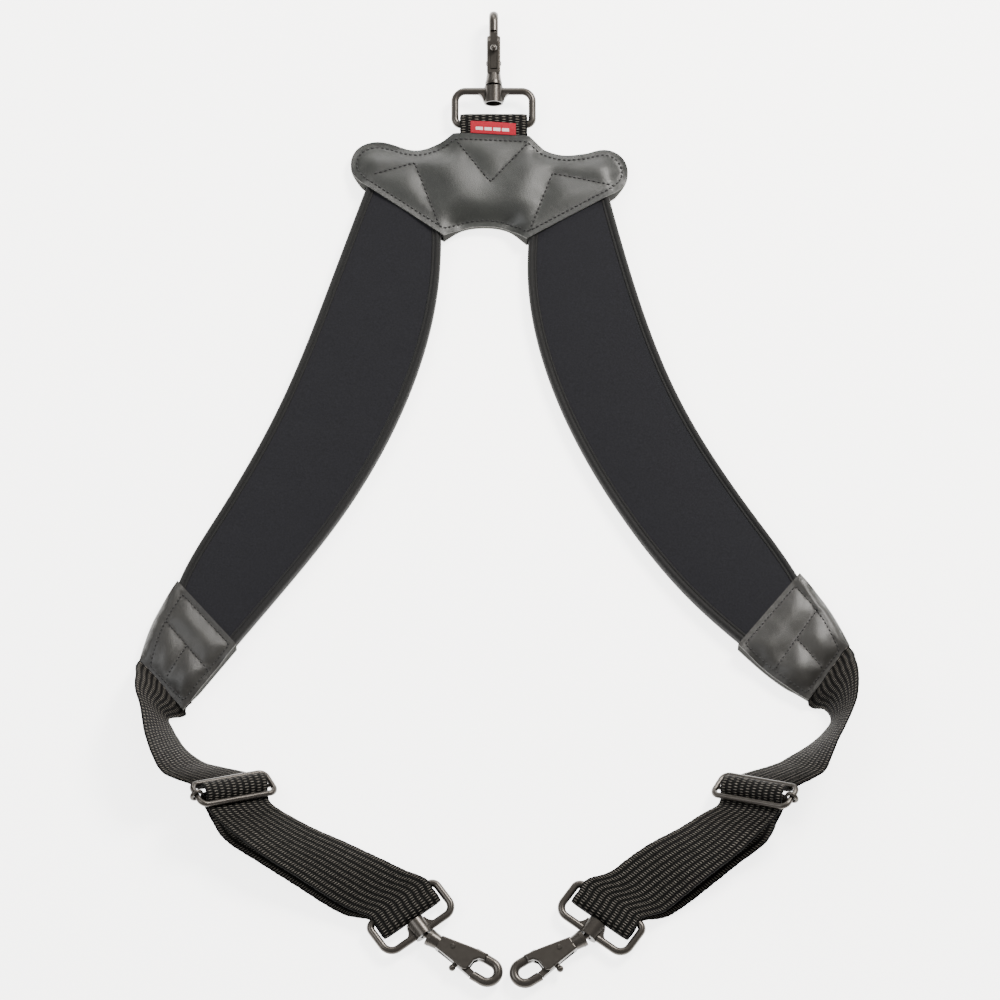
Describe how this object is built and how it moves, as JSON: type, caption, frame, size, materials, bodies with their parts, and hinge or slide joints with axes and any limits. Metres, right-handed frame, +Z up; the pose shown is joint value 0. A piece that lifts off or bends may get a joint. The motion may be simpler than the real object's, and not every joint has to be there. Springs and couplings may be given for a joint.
{
  "type": "shoulder harness",
  "caption": "Padded two-shoulder instrument harness: stitched yoke, curved pads, sewn end caps, webbing with wire adjusters, and swivel snap hooks at the back and front.",
  "frame": {"origin": "on the surface it lies on, under the middle of the whole harness", "axes": "+X to the right, +Y towards the back hook, +Z up off the surface"},
  "size_m": [0.395, 0.5774, 0.0378],
  "materials": {
    "yoke_leather": "satin, fine grain, black stitches",
    "cap_leather": "satin, fine grain, black stitches",
    "foam": "matte foam",
    "pad_jersey": "matte knitted jersey",
    "pad_lining": "matte mesh lining",
    "binding": "soft satin edge binding",
    "webbing": "ribbed polypropylene weave",
    "tag": "woven tag with a plain pattern",
    "gunmetal": "satin gunmetal plating",
    "spring_steel": "plain spring wire"
  },
  "bodies": {
    "harness": {"yoke_back_panel": "yoke_leather", "yoke_padding": "foam", "yoke_top_panel": "yoke_leather", "back_web_loop": "webbing", "woven_tag": "tag", "left_pad_lining": "pad_lining", "left_pad_core": "foam", "left_pad_face": "pad_jersey", "left_pad_binding": "binding", "left_cap_back": "cap_leather", "left_cap_top": "cap_leather", "left_web_fixed_run": "webbing", "right_pad_lining": "pad_lining", "right_pad_core": "foam", "right_pad_face": "pad_jersey", "right_pad_binding": "binding", "right_cap_back": "cap_leather", "right_cap_top": "cap_leather", "right_web_fixed_run": "webbing"},
    "back_ring": {"back_ring": "gunmetal"},
    "back_hook": {"back_hook_body": "gunmetal", "back_gate_pin": "gunmetal", "back_gate_spring": "spring_steel"},
    "back_gate": {"back_gate": "gunmetal"},
    "left_ring": {"left_ring": "gunmetal"},
    "left_hook": {"left_hook_body": "gunmetal", "left_gate_pin": "gunmetal", "left_gate_spring": "spring_steel"},
    "left_gate": {"left_gate": "gunmetal"},
    "left_slider": {"left_slider_frame": "gunmetal", "left_slider_bar": "gunmetal", "left_web_upper_run": "webbing", "left_web_lower_run": "webbing"},
    "left_front_end": {"left_web_ring_loop": "webbing"},
    "right_ring": {"right_ring": "gunmetal"},
    "right_hook": {"right_hook_body": "gunmetal", "right_gate_pin": "gunmetal", "right_gate_spring": "spring_steel"},
    "right_gate": {"right_gate": "gunmetal"},
    "right_slider": {"right_slider_frame": "gunmetal", "right_slider_bar": "gunmetal", "right_web_upper_run": "webbing", "right_web_lower_run": "webbing"},
    "right_front_end": {"right_web_ring_loop": "webbing"}
  },
  "joints": [
    {"name": "back_ring_flap", "type": "hinge", "parent": "harness", "child": "back_ring", "pos_m": [-0.00152, 0.21977, 0.0062], "axis": [1, 0, 0], "range_deg": [-70, 110]},
    {"name": "back_hook_swivel", "type": "hinge", "parent": "back_ring", "child": "back_hook", "pos_m": [-0.00152, 0.24293, 0.00865], "axis": [0, 1, 0], "continuous": true},
    {"name": "back_gate_hinge", "type": "hinge", "parent": "back_hook", "child": "back_gate", "pos_m": [-0.00152, 0.25743, 0.00715], "axis": [-1, 0, 0], "range_deg": [0, 20], "stiffness_Nm_per_rad": 0.05, "springref_deg": -17.19},
    {"name": "left_slider_slide", "type": "slide", "parent": "harness", "child": "left_slider", "axis": [0.788, -0.6157, 0], "range_m": [-0.005, 0.003]},
    {"name": "left_front_end_slide", "type": "slide", "parent": "left_slider", "child": "left_front_end", "axis": [0.788, -0.6157, 0], "range_m": [-0.0015, 0.0025]},
    {"name": "left_ring_flap", "type": "hinge", "parent": "left_front_end", "child": "left_ring", "pos_m": [-0.05151, -0.24113, 0.0054], "axis": [-0.809, -0.5878, 0], "range_deg": [-70, 85]},
    {"name": "left_hook_swivel", "type": "hinge", "parent": "left_ring", "child": "left_hook", "pos_m": [-0.03637, -0.25986, 0.0054], "axis": [0.848, -0.5299, 0], "continuous": true},
    {"name": "left_gate_hinge", "type": "hinge", "parent": "left_hook", "child": "left_gate", "pos_m": [-0.02328, -0.26627, 0.0054], "axis": [0, 0, 1], "range_deg": [0, 20], "stiffness_Nm_per_rad": 0.05, "springref_deg": -17.19},
    {"name": "right_slider_slide", "type": "slide", "parent": "harness", "child": "right_slider", "axis": [-0.788, -0.6157, 0], "range_m": [-0.005, 0.003]},
    {"name": "right_front_end_slide", "type": "slide", "parent": "right_slider", "child": "right_front_end", "axis": [-0.788, -0.6157, 0], "range_m": [-0.0015, 0.0025]},
    {"name": "right_ring_flap", "type": "hinge", "parent": "right_front_end", "child": "right_ring", "pos_m": [0.06229, -0.24172, 0.0054], "axis": [-0.809, 0.5878, 0], "range_deg": [-70, 85]},
    {"name": "right_hook_swivel", "type": "hinge", "parent": "right_ring", "child": "right_hook", "pos_m": [0.04714, -0.26046, 0.0054], "axis": [-0.848, -0.5299, 0], "continuous": true},
    {"name": "right_gate_hinge", "type": "hinge", "parent": "right_hook", "child": "right_gate", "pos_m": [0.03405, -0.26687, 0.0054], "axis": [0, 0, -1], "range_deg": [0, 20], "stiffness_Nm_per_rad": 0.05, "springref_deg": -17.19}
  ],
  "couplings": [
    {"joint": "left_front_end_slide", "follows": "left_slider_slide", "ratio": -0.5},
    {"joint": "right_front_end_slide", "follows": "right_slider_slide", "ratio": -0.5}
  ]
}
